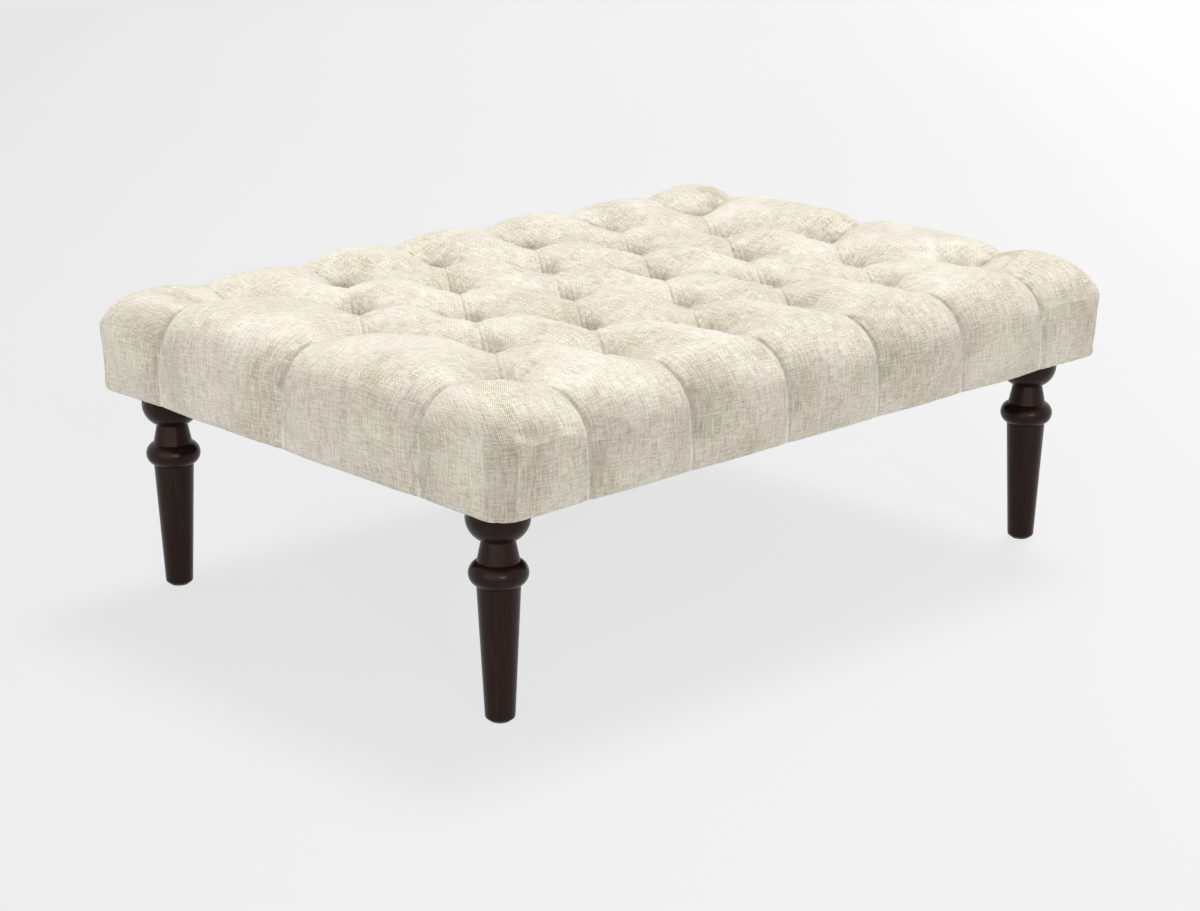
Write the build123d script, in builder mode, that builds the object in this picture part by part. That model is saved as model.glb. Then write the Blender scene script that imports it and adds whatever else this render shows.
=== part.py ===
from build123d import *
import os
from math import cos, floor, hypot, radians, sin, sqrt

os.makedirs("parts", exist_ok=True)

# Driving dimensions of the whole stool, in millimetres
cushion_length = 996.0  # over the bulge of the sides, along X
cushion_depth = 730.0  # over the bulge of the sides, along Y
leg_height = 242.0  # floor to the underside of the cushion
leg_inset_x = 60.0  # bulge to the leg's centre line
leg_inset_y = 72.0
buttons_along = 6  # in the long rows; the short rows between them have one less
end_margin = 125.5  # bulge to the outermost buttons, along X
side_margin = 133.0  # bulge to the outermost row, along Y

# Fits that several pieces share
clearance = 0.3  # between a soft piece and its neighbour
overrun = 2.0  # how far a cutting solid passes a face

# Timber frame
rail_height = 45.0
rail_thickness = 22.0
frame_inset = 12.0  # bulge of the cushion to the rails' outer faces
frame_corner_radius = 30.0
cross_rail_column_share = 1.5  # place of a cross rail, in half pitches of the buttons
block_height = 32.0
block_leg = 95.0  # along each rail
deck_thickness = 9.0

# Fasteners of the frame
dowel_radius = 4.0
dowel_in_long_rail = 10.0
dowel_in_end_grain = 25.0
dowel_height_shares = (0.28, 0.72)  # of the rail's height
screw_radius = 2.0
screw_head_radius = 4.0
screw_head_height = 3.0
screw_bite = 16.0  # into the rail
block_screw_spot = 60.0  # along the rail from the corner of the block
block_screw_seat = 20.0  # from the rail's face to under the head
head_pocket_radius = 4.6
deck_screw_length = 35.0
deck_screw_x_shares = (0.2, 0.39)  # of the frame's length, on the long rails
deck_screw_y_share = 0.21  # of the frame's depth, on the end rails
cross_screw_row_share = 0.5  # of the row pitch, on the cross rails
sink_height = 2.4

# Padding and cover
dust_cloth_thickness = 0.6
dust_cloth_inset = 20.0  # bulge to the cloth's edge
hem_thickness = 1.2
hem_width = 34.0  # bulge to the hem's inner edge, less the draw-in
foam_thickness = 44.2
wadding_thickness = 6.0
wadding_set_in = 15.0  # from the rails' outer faces
wadding_corner_radius = 28.0
wadding_edge_radius = 24.0  # along its top
pleat_depth = 13.0  # of a diagonal pleat, halfway between two buttons
pleat_wall = 9.0  # fabric and fill left under a pleat
pit_depth = 45.0  # crown to the button's seat
pit_reach = 55.0  # along a pleat, from the seat to the pleat's own depth
cover_fabric = 1.2

# Side profile of the cushion
corner_radius = 28.0
side_draw_in = 3.0  # of the bottom edge
bulge_height = 41.0  # underside to the fullest part
shoulder_rise = 60.0  # below the crown
end_shoulder_run = 60.0
side_shoulder_run = 82.0  # over the long sides, which are rounder
side_crease = 1.8  # depth of a side pleat at the bulge
shoulder_crease = 12.0  # and where it goes over the shoulder
end_sag_share = 0.1  # of a crease, along the stretch beside a corner
draw_shares = (0.0, 0.15, 0.45, 1.0)  # of the bulge height
shoulder_angles = (15, 30, 45, 60, 75)  # degrees round the shoulder
closing_rise = 4.0  # of the last outline, above the crown
closing_run = 26.0

# Pillows between the buttons
seat_half_width = 10.0  # of the flat that a button sits on
pleat_half_width = 1.5  # of the bottom of a straight pleat
seat_merge = 30.0  # where the flat has narrowed to the pleat
crest_run = 50.0  # from a pleat up to the crown of an edge pillow
edge_fall = 6.0  # of an edge pillow, out to where the side cuts it
edge_bow = 1.5
form_margin = 40.0  # how far the crown form reaches past the sides
crown_least_rise = 0.8  # of any arc over the pleats that carry it
station_shares = (0.0, 0.25, 0.5, 0.75)  # of half a pitch
end_station_shares = (0.07, 0.18, 0.36, 0.6, 1.0)  # of the run past the last buttons

# Buttons and their twine
button_radius = 11.0
button_rim = 1.5
button_height = 6.5
button_crown_radius = 7.0
button_crown_height = 5.0
button_gap = 1.3  # round the button, in its pit
pit_mouth_radius = 17.0
pit_mouth_height = 25.0
pit_floor = 6.0  # cover and fill pinched under a button
funnel_floor_radius = 14.0
funnel_margin = 12.0  # padding cut back round the cover's own pit
funnel_sides = 12
shank_radius = 1.5
shank_proud = 3.0  # below the pinched cover
twine_radius = 0.8
twine_sides = 6
twine_hole_radius = 2.0
washer_radius = 9.0
washer_thickness = 2.0
knot_radius = 2.2
knot_height = 4.0

# Turned leg, from its top down
cup_radius = 34.4
cup_rim_height = 14.0  # fullest part of the cup, below the leg's top
cup_height = 41.4
cup_flare_radius = 29.9
cup_flare_height = 9.8  # above the neck
neck_radius = 18.1
neck_height = 22.9
neck_foot_radius = 22.8
bead_radius = 32.0
bead_height = 26.1
bead_root_radius = 23.4
quirk = 2.6  # flat fillet under the bead
foot_radius = 16.1
foot_rounding = 4.0
glide_radius = 11.0
glide_thickness = 2.0
nail_radius = 1.2
nail_length = 15.0

# Leg fastening
bolt_radius = 4.0
bolt_in_leg = 30.0
bolt_proud = 2.0  # above the tee nut
bolt_hole_gap = 0.5
nut_flange_radius = 10.0
nut_flange_thickness = 1.5
nut_barrel_radius = 5.2
nut_barrel_length = 9.0

# Levels, from the floor up
cover_bottom = leg_height + dust_cloth_thickness
rail_bottom = cover_bottom + hem_thickness
block_top = rail_bottom + block_height
deck_bottom = rail_bottom + rail_height
deck_top = deck_bottom + deck_thickness
foam_top = deck_top + foam_thickness
wadding_top = foam_top + wadding_thickness
crown = wadding_top + pleat_wall + pleat_depth
seat_level = crown - pit_depth
funnel_floor = seat_level - pit_floor
shank_end = funnel_floor - shank_proud

# Places that several pieces share
button_pitch = (cushion_length - 2 * end_margin) / (buttons_along - 1)
row_pitch = (cushion_depth - 2 * side_margin) / 4
frame_length = cushion_length - 2 * frame_inset
frame_depth = cushion_depth - 2 * frame_inset
inner_x = frame_length / 2 - rail_thickness
inner_y = frame_depth / 2 - rail_thickness
leg_x = cushion_length / 2 - leg_inset_x
leg_y = cushion_depth / 2 - leg_inset_y
half_pitch = button_pitch / 2
outer_column = (buttons_along - 1) * half_pitch
cross_x = cross_rail_column_share * half_pitch
wadding_length = frame_length - 2 * wadding_set_in
wadding_depth = frame_depth - 2 * wadding_set_in
corners = {
    "front_left": (-1, -1),
    "front_right": (1, -1),
    "rear_left": (-1, 1),
    "rear_right": (1, 1),
}


def button_places():
    """Centres of the buttons, in five rows of six and five by turns."""
    places = []
    for row in range(-2, 3):
        count = buttons_along - abs(row) % 2
        for column in range(count):
            places.append(((column - (count - 1) / 2) * button_pitch, row * row_pitch))
    return places


buttons = button_places()


def at_level(level):
    """The buttons' centres at one height."""
    return [(x, y, level) for x, y in buttons]


def facing(place, direction):
    """A plane at a place, square to a direction."""
    return Plane(origin=place, z_dir=direction)


def keep(piece, name):
    """Labels a finished piece and writes it."""
    piece.part.label = name
    export_step(piece.part, f"parts/{name}.step")


def dowel_planes():
    """Mouths of the dowel holes in the long rails' inner faces."""
    planes = []
    for joint_x in (-frame_length / 2 + rail_thickness / 2, -cross_x, cross_x, inner_x + rail_thickness / 2):
        for side in (-1, 1):
            for share in dowel_height_shares:
                level = rail_bottom + share * rail_height
                planes.append(facing((joint_x, side * inner_y, level), (0, side, 0)))
    return planes


def block_screw_planes():
    """Seats of the screws' heads in the corner blocks, facing the rails."""
    level = rail_bottom + block_height / 2
    planes = []
    for side_x, side_y in corners.values():
        along_x = side_x * (inner_x - block_screw_spot)
        along_y = side_y * (inner_y - block_screw_spot)
        seat_x = side_x * (inner_x - block_screw_seat)
        seat_y = side_y * (inner_y - block_screw_seat)
        planes.append(facing((along_x, seat_y, level), (0, side_y, 0)))
        planes.append(facing((seat_x, along_y, level), (side_x, 0, 0)))
    return planes


def deck_screw_places():
    """Screws through the deck into every rail below it."""
    places = []
    rail_y = inner_y + rail_thickness / 2
    rail_x = inner_x + rail_thickness / 2
    for side_x, side_y in corners.values():
        for share in deck_screw_x_shares:
            places.append((side_x * share * frame_length, side_y * rail_y, deck_top))
        places.append((side_x * rail_x, side_y * deck_screw_y_share * frame_depth, deck_top))
        places.append((side_x * cross_x, side_y * cross_screw_row_share * row_pitch, deck_top))
    return places


# Dowels, two at each end of the end rails and the cross rails
with BuildPart() as rail_dowels:
    with BuildSketch(*dowel_planes()) as dowel_ends:
        Circle(dowel_radius)
    extrude(amount=dowel_in_long_rail)
    extrude(dowel_ends.sketch, amount=-dowel_in_end_grain)
keep(rail_dowels, "rail_dowels")

# Screws of the corner blocks
with BuildPart() as block_screws:
    with BuildSketch(*block_screw_planes()) as block_shanks:
        Circle(screw_radius)
    extrude(amount=block_screw_seat + screw_bite)
    with BuildSketch(*block_screw_planes()) as block_heads:
        Circle(screw_head_radius)
    extrude(amount=-screw_head_height)
keep(block_screws, "block_screws")

# Countersunk screws of the deck
with BuildPart() as one_deck_screw:
    with BuildSketch(Plane.XZ) as deck_screw_half:
        with BuildLine():
            Polyline(
                (0, 0),
                (screw_head_radius, 0),
                (screw_radius, -sink_height),
                (screw_radius, screw_radius - deck_screw_length),
                (0, -deck_screw_length),
                close=True,
            )
        make_face()
    revolve(axis=Axis.Z)
with BuildPart() as deck_screws:
    with Locations(*deck_screw_places()):
        add(one_deck_screw.part)
keep(deck_screws, "deck_screws")

# Long rails, rounded at the frame's outer corners
for name, side in (("front_rail", -1), ("rear_rail", 1)):
    with BuildPart() as long_rail:
        with BuildSketch(Plane.XY.offset(rail_bottom)):
            RectangleRounded(frame_length, frame_depth, frame_corner_radius)
            with Locations((0, side * (inner_y + rail_thickness / 2))):
                Rectangle(frame_length, rail_thickness, mode=Mode.INTERSECT)
        extrude(amount=rail_height)
        add(rail_dowels.part, mode=Mode.SUBTRACT)
        add(block_screws.part, mode=Mode.SUBTRACT)
        add(deck_screws.part, mode=Mode.SUBTRACT)
    keep(long_rail, name)

# End rails, between the long ones
for name, side in (("left_rail", -1), ("right_rail", 1)):
    with BuildPart() as end_rail:
        with BuildSketch(Plane.XY.offset(rail_bottom)):
            RectangleRounded(frame_length, frame_depth, frame_corner_radius)
            with Locations((side * (inner_x + rail_thickness / 2), 0)):
                Rectangle(rail_thickness, 2 * inner_y, mode=Mode.INTERSECT)
        extrude(amount=rail_height)
        add(rail_dowels.part, mode=Mode.SUBTRACT)
        add(block_screws.part, mode=Mode.SUBTRACT)
        add(deck_screws.part, mode=Mode.SUBTRACT)
    keep(end_rail, name)

# Cross rails, under the deck and clear of the twine
for name, side in (("left_cross_rail", -1), ("right_cross_rail", 1)):
    with BuildPart() as cross_rail:
        with BuildSketch(Plane.XY.offset(rail_bottom)):
            with Locations((side * cross_x, 0)):
                Rectangle(rail_thickness, 2 * inner_y)
        extrude(amount=rail_height)
        add(rail_dowels.part, mode=Mode.SUBTRACT)
        add(deck_screws.part, mode=Mode.SUBTRACT)
    keep(cross_rail, name)

# Corner blocks, bored for the leg's bolt and its tee nut
for place, (side_x, side_y) in corners.items():
    with BuildPart() as corner_block:
        with BuildSketch(Plane.XY.offset(rail_bottom)):
            with BuildLine():
                Polyline(
                    (side_x * inner_x, side_y * inner_y),
                    (side_x * (inner_x - block_leg), side_y * inner_y),
                    (side_x * inner_x, side_y * (inner_y - block_leg)),
                    close=True,
                )
            make_face()
        extrude(amount=block_height)
        with BuildSketch(Plane.XY.offset(rail_bottom)):
            with Locations((side_x * leg_x, side_y * leg_y)):
                Circle(bolt_radius + bolt_hole_gap)
        extrude(amount=block_height, mode=Mode.SUBTRACT)
        with BuildSketch(Plane.XY.offset(block_top)):
            with Locations((side_x * leg_x, side_y * leg_y)):
                Circle(nut_barrel_radius)
        extrude(amount=-nut_barrel_length, mode=Mode.SUBTRACT)
        with BuildSketch(*block_screw_planes()):
            Circle(screw_radius)
        extrude(amount=block_screw_seat, mode=Mode.SUBTRACT)
        with BuildSketch(*block_screw_planes()):
            Circle(head_pocket_radius)
        extrude(amount=-block_leg, mode=Mode.SUBTRACT)
    keep(corner_block, f"corner_block_{place}")

# Deck board, holed for the twine
with BuildPart() as deck_board:
    with BuildSketch(Plane.XY.offset(deck_bottom)):
        RectangleRounded(frame_length, frame_depth, frame_corner_radius)
        with Locations(*buttons):
            Circle(twine_hole_radius, mode=Mode.SUBTRACT)
    extrude(amount=deck_thickness)
    add(deck_screws.part, mode=Mode.SUBTRACT)
keep(deck_board, "deck_board")


def pleat_depth_at(distance):
    """Depth of a pleat below the crown, at a distance from its button."""
    share = max(0.0, 1 - max(0.0, distance - seat_half_width) / pit_reach)
    return pleat_depth + (pit_depth - pleat_depth) * share**2


def pit_radius_at(depth):
    """Distance from a button at which a pleat is that deep."""
    share = sqrt((depth - pleat_depth) / (pit_depth - pleat_depth))
    return seat_half_width + pit_reach * (1 - share)


# Radii of the funnels that the buttons draw into the padding
wadding_hole_radius = pit_radius_at(crown - wadding_top - cover_fabric) + funnel_margin
funnel_mouth_radius = pit_radius_at(crown - foam_top - cover_fabric) + funnel_margin


def funnel(gap):
    """Plug of cover over one button's funnel, smaller than the hole in the padding by a gap."""
    with BuildPart() as plug:
        with BuildSketch(Plane.XY.offset(funnel_floor + gap)):
            RegularPolygon(funnel_floor_radius - gap, funnel_sides)
        with BuildSketch(Plane.XY.offset(foam_top + gap)):
            RegularPolygon(funnel_mouth_radius - gap, funnel_sides)
        loft()
        with BuildSketch(Plane.XY.offset(foam_top + gap)):
            RegularPolygon(wadding_hole_radius - gap, funnel_sides)
        extrude(amount=wadding_thickness + overrun)
    return plug.part


def pad(offset):
    """Block with rounded top edges, larger than the wadding by an offset."""
    with BuildPart() as block:
        with BuildSketch(Plane.XY.offset(deck_top)):
            RectangleRounded(
                wadding_length + 2 * offset,
                wadding_depth + 2 * offset,
                wadding_corner_radius + offset,
            )
        extrude(amount=wadding_top + offset - deck_top)
        fillet(block.edges().group_by(Axis.Z)[-1], wadding_edge_radius + offset)
    return block.part


# Foam block, with a funnel for each button
foam_form = pad(-wadding_thickness)
with BuildPart() as foam_block:
    add(foam_form)
    with Locations(*buttons):
        add(funnel(0), mode=Mode.SUBTRACT)
    with BuildSketch(Plane.XY.offset(deck_top)):
        with Locations(*buttons):
            Circle(twine_hole_radius)
    extrude(amount=foam_thickness, mode=Mode.SUBTRACT)
keep(foam_block, "foam_block")

# Wadding, over the foam and down its sides
with BuildPart() as wadding:
    add(pad(0))
    add(foam_form, mode=Mode.SUBTRACT)
    with Locations(*buttons):
        add(funnel(0), mode=Mode.SUBTRACT)
keep(wadding, "wadding")


def rise_share(share):
    """Drop of a quarter circle at a share of its run from the top."""
    return 1 - sqrt(1 - min(1.0, max(0.0, share)) ** 2)


def half_section(x):
    """Arc ends and middles across half the cushion at x, as distance from the centre and depth."""
    past_last = abs(x) - outer_column
    halves = max(0.0, -past_last) / half_pitch
    share = halves - floor(halves)
    turn = share if floor(halves) % 2 == 0 else 1 - share
    if past_last > 0:
        pleat = pleat_depth_at(past_last)
        narrowing = min(1.0, past_last / seat_merge)
        inner_valley = seat_half_width - (seat_half_width - pleat_half_width) * narrowing
        fade = max(0.0, 1 - past_last / half_pitch)
        centre = pleat - crown_least_rise
    else:
        pleat = pleat_depth_at(min(turn, 1 - turn) * hypot(half_pitch, row_pitch))
        inner_valley = seat_half_width + turn * (row_pitch - 2 * seat_half_width)
        fade = 1 - turn
        centre = min(pit_depth * rise_share(1 - turn), pleat - crown_least_rise)
    outer_valley = 2 * row_pitch - turn * (row_pitch - seat_half_width)
    apex = min(pit_depth * rise_share(turn), pleat - crown_least_rise)
    crest = outer_valley + crest_run
    edge = pleat_depth * fade**2
    edge_valley = max(pleat, edge + crown_least_rise)
    drop = edge_valley - edge
    bend = (crest_run**2 + drop**2) / (2 * drop)
    outside = cushion_depth / 2 + form_margin
    return [
        (0, centre),
        (inner_valley, pleat),
        ((inner_valley + outer_valley) / 2, apex),
        (outer_valley, edge_valley),
        (outer_valley + crest_run / 2, edge + bend - sqrt(bend**2 - crest_run**2 / 4)),
        (crest, edge),
        ((crest + outside) / 2, edge + edge_fall / 2 - edge_bow),
        (outside, edge + edge_fall),
    ]


def section_stations():
    """Places along X of the sections, closer together beside the buttons."""
    inner = []
    for half in range(2 * (buttons_along - 1)):
        for share in station_shares:
            inner.append((half + share) * half_pitch - outer_column)
    end_run = cushion_length / 2 + form_margin - outer_column
    ends = [outer_column + share * end_run for share in end_station_shares]
    return [-x for x in reversed(ends)] + inner + [outer_column] + ends


# Tufted crown of the cushion, a row of sections that meet in the pleats
with BuildPart() as crown_form:
    for station in section_stations():
        half = half_section(station)
        whole = [(-y, depth) for y, depth in reversed(half[1:])] + half
        points = [(y, crown - depth) for y, depth in whole]
        foot_level = cover_bottom - overrun
        with BuildSketch(Plane.YZ.offset(station)):
            with BuildLine():
                for first in range(0, len(points) - 2, 2):
                    ThreePointArc(*points[first : first + 3])
                Polyline(
                    points[-1],
                    (points[-1][0], foot_level),
                    (points[0][0], foot_level),
                    points[0],
                )
            make_face()
    loft(ruled=True)


def side_outline(end_inset, side_inset, crease):
    """Outline of the cushion at one level, with a crease at the end of each straight pleat."""
    half_x = cushion_length / 2 - end_inset
    half_y = cushion_depth / 2 - side_inset
    long_pleats = [(column - (buttons_along - 1) / 2) * button_pitch for column in range(buttons_along)]
    short_pleats = [-2 * row_pitch, 0, 2 * row_pitch]
    sides = (
        ((1, 0), (0, -1), half_x, half_y, long_pleats),
        ((0, 1), (1, 0), half_y, half_x, short_pleats),
        ((-1, 0), (0, 1), half_x, half_y, long_pleats),
        ((0, -1), (-1, 0), half_y, half_x, short_pleats),
    )
    for along, out, reach, distance, pleats in sides:

        def point(run, depth):
            away = distance - depth
            return (along[0] * run + out[0] * away, along[1] * run + out[1] * away)

        end = reach - corner_radius
        knots = [(-end, 0)] + [(pleat, crease) for pleat in pleats] + [(end, 0)]
        for (run_a, depth_a), (run_b, depth_b) in zip(knots, knots[1:]):
            middle = point((run_a + run_b) / 2, end_sag_share * abs(depth_a - depth_b))
            ThreePointArc(point(run_a, depth_a), middle, point(run_b, depth_b))
        turn = corner_radius * sin(radians(45))
        corner_point = point(end + turn, corner_radius - turn)
        ThreePointArc(point(end, 0), corner_point, point(reach, corner_radius))


def side_levels():
    """Level, both insets and crease of each outline, from the bottom edge over the shoulder."""
    levels = []
    for share in draw_shares:
        inset = side_draw_in * (1 - share) ** 2
        levels.append((cover_bottom + share * bulge_height, inset, inset, side_crease * (1 + share) / 2))
    for angle in shoulder_angles:
        rise = sin(radians(angle))
        fall = 1 - cos(radians(angle))
        level = crown - shoulder_rise * (1 - rise)
        crease = side_crease + (shoulder_crease - side_crease) * rise**2
        levels.append((level, end_shoulder_run * fall, side_shoulder_run * fall, crease))
    _, end_inset, side_inset, crease = levels[-1]
    levels.append((crown + closing_rise, end_inset + closing_run, side_inset + closing_run, crease))
    return levels


# Sides of the cushion, drawn in at the bottom and rounded over the shoulder
with BuildPart() as side_form:
    for level, end_inset, side_inset, crease in side_levels():
        with BuildSketch(Plane.XY.offset(level)):
            with BuildLine():
                side_outline(end_inset, side_inset, crease)
            make_face()
    loft()

# Room inside the cover for the frame and the padding, with a plug left at each button
with BuildPart() as cover_room:
    add(pad(clearance))
    with Locations(*buttons):
        add(funnel(clearance), mode=Mode.SUBTRACT)
    with BuildSketch(Plane.XY.offset(rail_bottom)):
        RectangleRounded(
            frame_length + 2 * clearance,
            frame_depth + 2 * clearance,
            frame_corner_radius + clearance,
        )
    extrude(amount=deck_top + clearance - rail_bottom)
    with BuildSketch(Plane.XY.offset(cover_bottom - overrun)):
        RectangleRounded(
            cushion_length - 2 * hem_width,
            cushion_depth - 2 * hem_width,
            corner_radius,
        )
    extrude(amount=hem_thickness + overrun)

# Cover with its tufts, hemmed under the rails
with BuildPart() as tufted_cover:
    add(crown_form.part)
    add(side_form.part, mode=Mode.INTERSECT)
    add(cover_room.part, mode=Mode.SUBTRACT)
    with Locations(*at_level(seat_level)):
        Cone(
            button_radius + button_gap,
            pit_mouth_radius,
            pit_mouth_height,
            align=(Align.CENTER, Align.CENTER, Align.MIN),
            mode=Mode.SUBTRACT,
        )
    with BuildSketch(Plane.XY.offset(seat_level + overrun)):
        with Locations(*buttons):
            Circle(twine_hole_radius)
    extrude(amount=-pit_floor - 2 * overrun, mode=Mode.SUBTRACT)
keep(tufted_cover, "tufted_cover")

# Covered buttons, with the shank that the twine ties to
with BuildPart() as one_button:
    with BuildSketch(Plane.XZ):
        with BuildLine():
            Polyline(
                (0, 0),
                (button_radius, 0),
                (button_radius, button_rim),
                (button_crown_radius, button_crown_height),
                (0, button_height),
                close=True,
            )
        make_face()
    revolve(axis=Axis.Z)
    with BuildSketch(Plane.XY):
        RegularPolygon(shank_radius, twine_sides)
    extrude(amount=shank_end - seat_level)
with BuildPart() as tuft_buttons:
    with Locations(*at_level(seat_level)):
        add(one_button.part)
keep(tuft_buttons, "tuft_buttons")

# Washers that anchor the twine under the deck
with BuildPart() as twine_washers:
    with BuildSketch(Plane.XY.offset(deck_bottom)):
        with Locations(*buttons):
            Circle(washer_radius)
            RegularPolygon(twine_radius, twine_sides, mode=Mode.SUBTRACT)
    extrude(amount=-washer_thickness)
keep(twine_washers, "twine_washers")

# Twine from each button's shank to a knot under its washer
with BuildPart() as button_twines:
    knot_level = deck_bottom - washer_thickness
    with BuildSketch(Plane.XY.offset(knot_level)):
        with Locations(*buttons):
            RegularPolygon(twine_radius, twine_sides)
    extrude(amount=shank_end - knot_level)
    with BuildSketch(Plane.XY.offset(knot_level)):
        with Locations(*buttons):
            RegularPolygon(knot_radius, twine_sides)
    extrude(amount=-knot_height)
keep(button_twines, "button_twines")

# Dust cloth under the frame, pierced by the legs' bolts
with BuildPart() as dust_cloth:
    with BuildSketch(Plane.XY.offset(leg_height)):
        RectangleRounded(
            cushion_length - 2 * dust_cloth_inset,
            cushion_depth - 2 * dust_cloth_inset,
            corner_radius,
        )
        with Locations(*[(side_x * leg_x, side_y * leg_y) for side_x, side_y in corners.values()]):
            Circle(bolt_radius + bolt_hole_gap, mode=Mode.SUBTRACT)
    extrude(amount=dust_cloth_thickness)
keep(dust_cloth, "dust_cloth")

# Levels of the leg's turning
cup_base = leg_height - cup_height
bead_top = cup_base - neck_height
bead_low = bead_top - bead_height
taper_top = bead_low - quirk

# One of each piece of a leg, at the origin
with BuildPart() as one_glide:
    with BuildSketch(Plane.XY):
        Circle(glide_radius)
    extrude(amount=glide_thickness)
    with BuildSketch(Plane.XY.offset(glide_thickness)):
        Circle(nail_radius)
    extrude(amount=nail_length)

with BuildPart() as one_bolt:
    bolt_low = leg_height - bolt_in_leg
    with BuildSketch(Plane.XY.offset(bolt_low)):
        Circle(bolt_radius)
    extrude(amount=block_top + nut_flange_thickness + bolt_proud - bolt_low)

with BuildPart() as one_leg:
    with BuildSketch(Plane.XZ):
        with BuildLine():
            Line((neck_radius, cup_base), (neck_foot_radius, bead_top))
            ThreePointArc(
                (neck_foot_radius, bead_top),
                (bead_radius, (bead_top + bead_low) / 2),
                (bead_root_radius, bead_low),
            )
            Polyline(
                (bead_root_radius, bead_low),
                (bead_root_radius, taper_top),
                (foot_radius, glide_thickness),
                (0, glide_thickness),
                (0, leg_height),
                (cup_radius, leg_height),
                (cup_radius, leg_height - cup_rim_height),
            )
            ThreePointArc(
                (cup_radius, leg_height - cup_rim_height),
                (cup_flare_radius, cup_base + cup_flare_height),
                (neck_radius, cup_base),
            )
        make_face()
    revolve(axis=Axis.Z)
    fillet(one_leg.edges().group_by(Axis.Z)[0], foot_rounding)
    add(one_glide.part, mode=Mode.SUBTRACT)
    add(one_bolt.part, mode=Mode.SUBTRACT)

with BuildPart() as one_nut:
    with BuildSketch(Plane.XY.offset(block_top)):
        Circle(nut_flange_radius)
    extrude(amount=nut_flange_thickness)
    with BuildSketch(Plane.XY.offset(block_top)):
        Circle(nut_barrel_radius)
    extrude(amount=-nut_barrel_length)
    add(one_bolt.part, mode=Mode.SUBTRACT)

# The four legs, each with its glide, hanger bolt and tee nut
for place, (side_x, side_y) in corners.items():
    leg_pieces = {"leg": one_leg, "foot_glide": one_glide, "hanger_bolt": one_bolt, "tee_nut": one_nut}
    for kind, turned in leg_pieces.items():
        with BuildPart() as placed:
            with Locations((side_x * leg_x, side_y * leg_y)):
                add(turned.part)
        keep(placed, f"{kind}_{place}")
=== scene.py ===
import math

import bmesh
import bpy
import numpy as np
from mathutils import Euler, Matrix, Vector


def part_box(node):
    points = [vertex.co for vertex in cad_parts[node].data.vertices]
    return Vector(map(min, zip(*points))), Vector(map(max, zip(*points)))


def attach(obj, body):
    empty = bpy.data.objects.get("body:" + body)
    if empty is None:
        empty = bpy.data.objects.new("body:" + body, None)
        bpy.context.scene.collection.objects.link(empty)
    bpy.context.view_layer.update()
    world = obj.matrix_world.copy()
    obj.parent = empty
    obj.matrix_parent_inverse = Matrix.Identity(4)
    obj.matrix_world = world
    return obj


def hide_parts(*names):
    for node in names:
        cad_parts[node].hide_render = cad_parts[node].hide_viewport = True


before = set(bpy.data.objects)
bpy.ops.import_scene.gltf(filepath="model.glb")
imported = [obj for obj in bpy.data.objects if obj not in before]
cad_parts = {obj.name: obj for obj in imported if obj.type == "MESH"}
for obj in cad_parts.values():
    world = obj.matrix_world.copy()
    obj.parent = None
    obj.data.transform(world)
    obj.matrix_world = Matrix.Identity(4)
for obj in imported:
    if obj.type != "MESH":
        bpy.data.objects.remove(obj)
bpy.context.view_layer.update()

# Sizes in metres, worked out from the frame where it has them
mm = 0.001
per_metre = 1000
cover_low, cover_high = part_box("tufted_cover")
buttons_low, buttons_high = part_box("tuft_buttons")
cloth_low, cloth_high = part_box("dust_cloth")
button_radius = 11 * mm
row_pitch = (buttons_high.y - buttons_low.y - 2 * button_radius) / 4
pitch = (buttons_high.x - buttons_low.x - 2 * button_radius) / 5
half_pitch = pitch / 2
outer_column = 5 * half_pitch
outer_row = 2 * row_pitch
room_to_swell = 1.6 * mm
half_length = (cover_high.x - cover_low.x) / 2 - room_to_swell
half_depth = (cover_high.y - cover_low.y) / 2 - room_to_swell
crown = cover_high.z
underside = cover_low.z

# Shape of the tufting
pit_depth = 45 * mm
pit_seat = 11 * mm
pit_reach = 72 * mm
core_reach = 50 * mm
crown_drop = 3.2 * mm
swell_reach = 60 * mm
ripple = 0.8 * mm
ripple_length = 70 * mm
pleat_depth = 14 * mm
pillow_reach = 60 * mm
lobe_reach = 72 * mm
softness = 0.74
ridge = 5 * mm
ridge_reach = 60 * mm
crisp_reach = 76 * mm
overhang = 2.3 * mm
overhang_spot = 7 * mm
fold_width = 1.5 * mm
wrinkle_reach = 72 * mm
wrinkle_start = 14 * mm
wrinkle_depth = 0.45 * mm
wrinkle_swirl = 4
wrinkle_counts = (9, 14, 23)

# Shape of the sides
shoulder_rise = 60 * mm
long_run = 82 * mm
short_run = 60 * mm
corner_radius = 28 * mm
bulge_height = 41 * mm
side_draw_in = 3 * mm
hem_radius = 3 * mm
hem_inset = 34 * mm
side_ripple = 0.5 * mm
side_ripple_length = 90 * mm
corner_share = 0.8
corner_fold_depth = 0.8 * mm
corner_fold_width = 2.5 * mm
shoulder_steps = 26
drop_steps = 18
hem_steps = 8
crease_knots = (0, 10, 20, 26, 34, 44, 48, 52)
crease_shares = (1, 0.84, 0.64, 0.47, 0.31, 0.16, 0.08, 0.04)

# How many millimetres higher or lower than usual the pillows are: along the long sides from left to
# right, at the rear left corner, and the range that the diamonds are drawn from
front_fills = (0, 0.5, -0.5, 0.5, 0)
rear_fills = (-6, -1, 0, -1, -4)
rear_left_fill = -3
lowest_diamond = -1.5
highest_diamond = 1.0

# How the cloth settles over the padding
settling_frames = 9
growth = 0.03
swelling = 0.4
most_settling = 3.2 * mm
pinned_rim = 14 * mm
pinned_hem = 10 * mm
soft_hold = 0.8
cloth_mass = 0.3
stretch_stiffness = 25
shear_stiffness = 8
bending_stiffness = 0.03

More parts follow.
